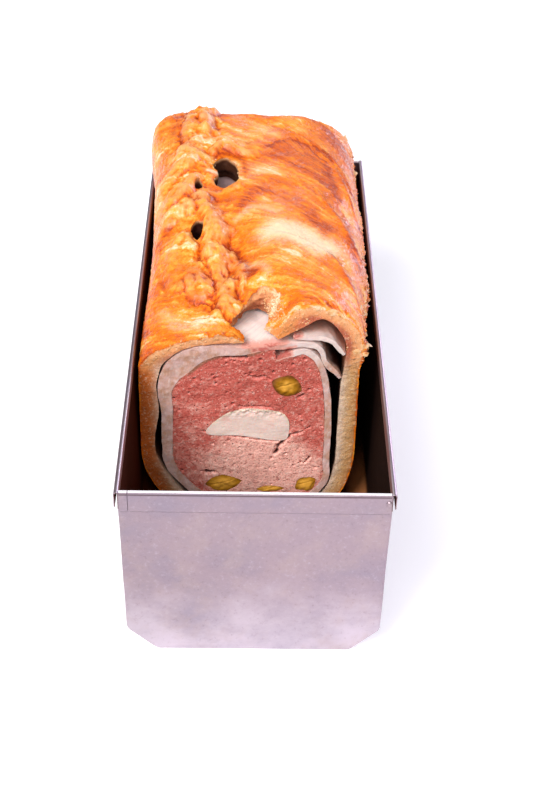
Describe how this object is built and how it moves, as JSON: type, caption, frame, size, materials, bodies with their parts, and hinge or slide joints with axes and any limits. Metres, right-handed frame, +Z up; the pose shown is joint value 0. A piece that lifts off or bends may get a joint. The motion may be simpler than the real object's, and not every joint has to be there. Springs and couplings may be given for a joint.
{
  "type": "pate en croute in its loaf tin",
  "caption": "Pate en croute cut open to show a fat-wrapped minced filling with a pale core strip and pistachios, in the folded tinplate loaf tin it was baked in.",
  "frame": {"origin": "middle of the tin's underside, on the surface it stands on", "axes": "+Z up; +Y along the tin, away from the cut face; +X to the right as one looks at the cut face"},
  "size_m": [0.1, 0.25, 0.1121],
  "materials": {
    "tinplate": "satin, slightly mottled",
    "baked_crust": "egg-washed baked pastry, satin",
    "back_fat": "moist translucent white",
    "mince": "moist and grainy",
    "pale_meat": "moist, fine grained",
    "pistachio": "cut nut, satin"
  },
  "bodies": {
    "root": {"tin": "tinplate", "crust": "baked_crust", "fat_wrap": "back_fat", "fat_slice": "back_fat", "forcemeat": "mince", "core_strip": "pale_meat", "pistachio_1": "pistachio", "pistachio_2": "pistachio", "pistachio_3": "pistachio", "pistachio_4": "pistachio"}
  },
  "joints": []
}
